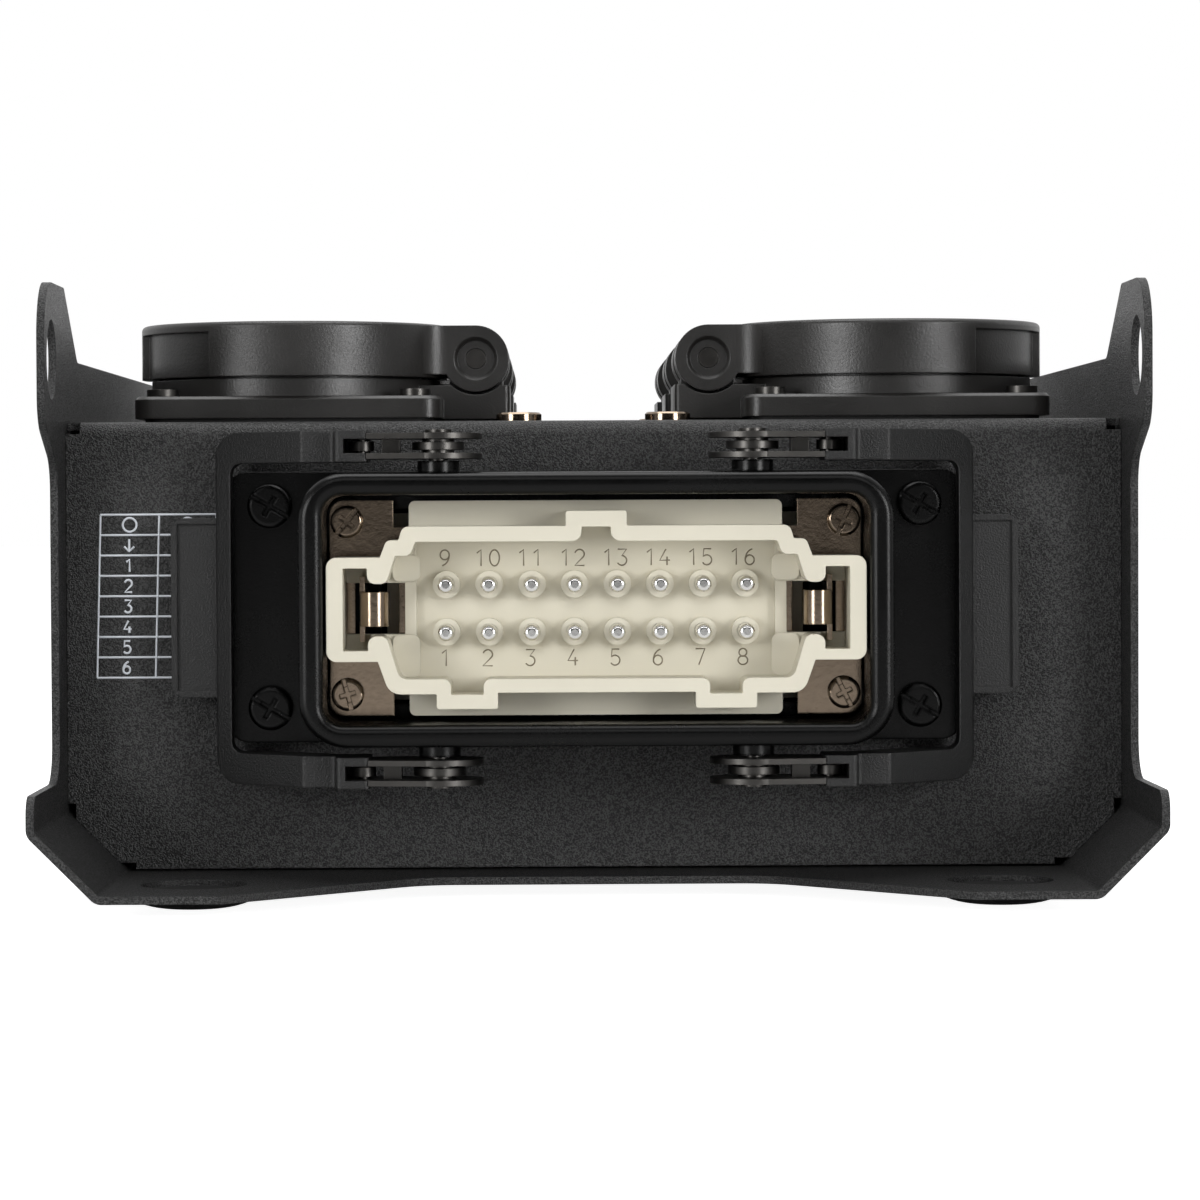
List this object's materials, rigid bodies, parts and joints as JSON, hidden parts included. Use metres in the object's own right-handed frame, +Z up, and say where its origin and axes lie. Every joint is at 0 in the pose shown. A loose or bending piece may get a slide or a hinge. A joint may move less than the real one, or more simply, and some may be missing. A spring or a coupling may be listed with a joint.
{
  "type": "power breakout box",
  "caption": "Power breakout box: folded black steel case with a lever locked pin inlet at one end and lidded earthed outlets on top.",
  "frame": {"origin": "centre of the footprint, on the surface that the feet stand on", "axes": "+X to the right seen from the inlet end, +Y along the box away from the inlet, +Z up"},
  "size_m": [0.1712, 0.2784, 0.0966],
  "materials": {
    "steel_black": "fine texture powder coat",
    "rubber_black": "smooth matte",
    "plastic_black": "satin moulded",
    "plastic_lever": "grained moulded",
    "housing_black": "satin coat on die casting",
    "plastic_cream": "moulded, slightly glossy",
    "nickel": "bright nickel plate",
    "silver": "silver plate",
    "steel_zinc": "bright zinc plate",
    "steel_dark": "dark satin",
    "brass": "plain"
  },
  "bodies": {
    "box": {"chassis_cradle": "steel_black", "rubber_feet": "rubber_black", "top_cover": "steel_black", "cover_side_screws": "steel_dark", "cover_side_nuts": "steel_zinc", "centre_rail": "steel_zinc", "centre_rail_bolts": "nickel", "centre_rail_nuts": "steel_zinc", "outlet_gaskets": "rubber_black", "outlet_hinge_pins": "steel_dark", "outlet_lid_springs": "steel_zinc", "inlet_housing": "housing_black", "inlet_gasket": "rubber_black", "inlet_housing_screws": "steel_dark", "pin_insert": "plastic_cream", "insert_shroud": "plastic_cream", "pin_collars": "plastic_cream", "outlet_cores": "plastic_black", "contact_pins": "silver", "insert_plate_left": "nickel", "insert_plate_right": "nickel", "earth_spring_left": "nickel", "earth_spring_right": "nickel", "insert_screws": "nickel", "lever_pivot_pins": "steel_dark", "earth_stud": "brass", "earth_stud_nuts": "brass", "outlet_screws": "steel_dark", "outlet_contacts": "brass", "outlet_earth_clips": "brass", "outlet_body_1": "plastic_black", "outlet_body_2": "plastic_black", "outlet_body_3": "plastic_black", "outlet_body_4": "plastic_black", "outlet_body_5": "plastic_black", "outlet_body_6": "plastic_black"},
    "lid_1": {"outlet_lid_1": "plastic_black", "outlet_lid_seal_1": "rubber_black"},
    "lid_2": {"outlet_lid_2": "plastic_black", "outlet_lid_seal_2": "rubber_black"},
    "lid_3": {"outlet_lid_3": "plastic_black", "outlet_lid_seal_3": "rubber_black"},
    "lid_4": {"outlet_lid_4": "plastic_black", "outlet_lid_seal_4": "rubber_black"},
    "lid_5": {"outlet_lid_5": "plastic_black", "outlet_lid_seal_5": "rubber_black"},
    "lid_6": {"outlet_lid_6": "plastic_black", "outlet_lid_seal_6": "rubber_black"},
    "lever_left": {"lever_grip_left": "plastic_lever", "lever_plates_left": "steel_dark", "lever_fittings_left": "steel_dark"},
    "lever_right": {"lever_grip_right": "plastic_lever", "lever_plates_right": "steel_dark", "lever_fittings_right": "steel_dark"}
  },
  "joints": [
    {"name": "lid_1_hinge", "type": "hinge", "parent": "box", "child": "lid_1", "pos_m": [-0.0193, -0.058, 0.086], "axis": [0, 1, 0], "range_deg": [0, 95], "stiffness_Nm_per_rad": 0.02, "springref_deg": -28.65},
    {"name": "lid_2_hinge", "type": "hinge", "parent": "box", "child": "lid_2", "pos_m": [-0.0193, 0, 0.086], "axis": [0, 1, 0], "range_deg": [0, 95], "stiffness_Nm_per_rad": 0.02, "springref_deg": -28.65},
    {"name": "lid_3_hinge", "type": "hinge", "parent": "box", "child": "lid_3", "pos_m": [-0.0193, 0.058, 0.086], "axis": [0, 1, 0], "range_deg": [0, 95], "stiffness_Nm_per_rad": 0.02, "springref_deg": -28.65},
    {"name": "lid_4_hinge", "type": "hinge", "parent": "box", "child": "lid_4", "pos_m": [0.0193, -0.058, 0.086], "axis": [0, -1, 0], "range_deg": [0, 95], "stiffness_Nm_per_rad": 0.02, "springref_deg": -28.65},
    {"name": "lid_5_hinge", "type": "hinge", "parent": "box", "child": "lid_5", "pos_m": [0.0193, 0, 0.086], "axis": [0, -1, 0], "range_deg": [0, 95], "stiffness_Nm_per_rad": 0.02, "springref_deg": -28.65},
    {"name": "lid_6_hinge", "type": "hinge", "parent": "box", "child": "lid_6", "pos_m": [0.0193, 0.058, 0.086], "axis": [0, -1, 0], "range_deg": [0, 95], "stiffness_Nm_per_rad": 0.02, "springref_deg": -28.65},
    {"name": "lever_left_pivot", "type": "hinge", "parent": "box", "child": "lever_left", "pos_m": [-0.02435, -0.1152, 0.04565], "axis": [0, 0, 1], "range_deg": [0, 70]},
    {"name": "lever_right_pivot", "type": "hinge", "parent": "box", "child": "lever_right", "pos_m": [0.02435, -0.1152, 0.04565], "axis": [0, 0, -1], "range_deg": [0, 70]}
  ]
}
